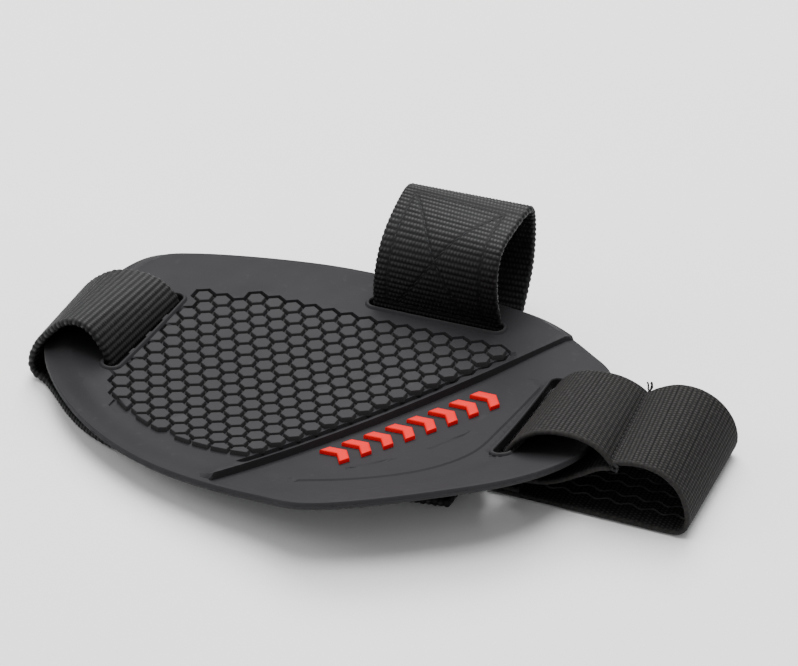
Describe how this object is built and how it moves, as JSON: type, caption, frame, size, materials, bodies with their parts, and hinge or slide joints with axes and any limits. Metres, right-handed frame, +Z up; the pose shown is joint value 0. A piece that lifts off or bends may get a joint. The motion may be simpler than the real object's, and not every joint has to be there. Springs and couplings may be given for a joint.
{
  "type": "gear shift boot pad",
  "caption": "Dished rubber gear-shift pad for a riding boot, with a hexagon grip field, a webbing keeper ring, a webbing sole strap and an elastic heel strap.",
  "frame": {"origin": "centre of the bounding box, on the surface that the part rests on", "axes": "+X along the pad from the sole strap's slot to the heel strap, +Y across it towards the keeper ring, +Z up from the resting surface"},
  "size_m": [0.1656, 0.1124, 0.0338],
  "materials": {
    "black_rubber": "matt moulded rubber",
    "red_rubber": "satin moulded rubber",
    "webbing": "ribbed nylon webbing",
    "elastic": "knitted elastic band",
    "thread": "bonded sewing thread",
    "hook_tape": "hook side of hook-and-loop tape",
    "loop_tape": "loop side of hook-and-loop tape",
    "grip_print": "printed silicone line"
  },
  "bodies": {
    "pad": {"pad_body": "black_rubber", "grip_studs": "black_rubber", "accent_mark_1": "red_rubber", "accent_mark_2": "red_rubber", "accent_mark_3": "red_rubber", "accent_mark_4": "red_rubber", "accent_mark_5": "red_rubber", "accent_mark_6": "red_rubber", "accent_mark_7": "red_rubber", "accent_mark_8": "red_rubber", "sole_strap_ring": "webbing", "sole_ring_stitching": "thread", "heel_strap_ring": "elastic", "heel_seam_stitching": "thread"},
    "keeper": {"keeper_ring": "webbing", "keeper_stitching": "thread"},
    "sole_tail": {"sole_strap_tail": "webbing", "sole_loop_patch": "loop_tape", "sole_loop_stitching": "thread"},
    "sole_tip": {"sole_strap_tip": "webbing", "sole_hook_patch": "hook_tape", "sole_hook_stitching": "thread"},
    "heel_loop": {"heel_strap_loop": "elastic", "heel_grip_line_1": "grip_print", "heel_grip_line_2": "grip_print", "heel_grip_line_3": "grip_print", "heel_grip_line_4": "grip_print", "heel_end_hem": "elastic", "heel_hem_stitching": "thread"}
  },
  "joints": [
    {"name": "keeper_swing", "type": "hinge", "parent": "pad", "child": "keeper", "pos_m": [0.00258, 0.04013, 0.008], "axis": [-1, 0, 0], "range_deg": [-4, 70]},
    {"name": "sole_strap_swing", "type": "hinge", "parent": "pad", "child": "sole_tail", "pos_m": [-0.05622, -0.01287, 0], "axis": [0, 1, 0], "range_deg": [0, 120]},
    {"name": "sole_tip_fold", "type": "hinge", "parent": "sole_tail", "child": "sole_tip", "pos_m": [-0.00172, -0.01687, 0.0013], "axis": [0, 1, 0], "range_deg": [0, 90]},
    {"name": "heel_loop_swing", "type": "hinge", "parent": "pad", "child": "heel_loop", "pos_m": [0.06288, 0.00113, 0.0141], "axis": [0, -1, 0], "range_deg": [0, 45]}
  ]
}
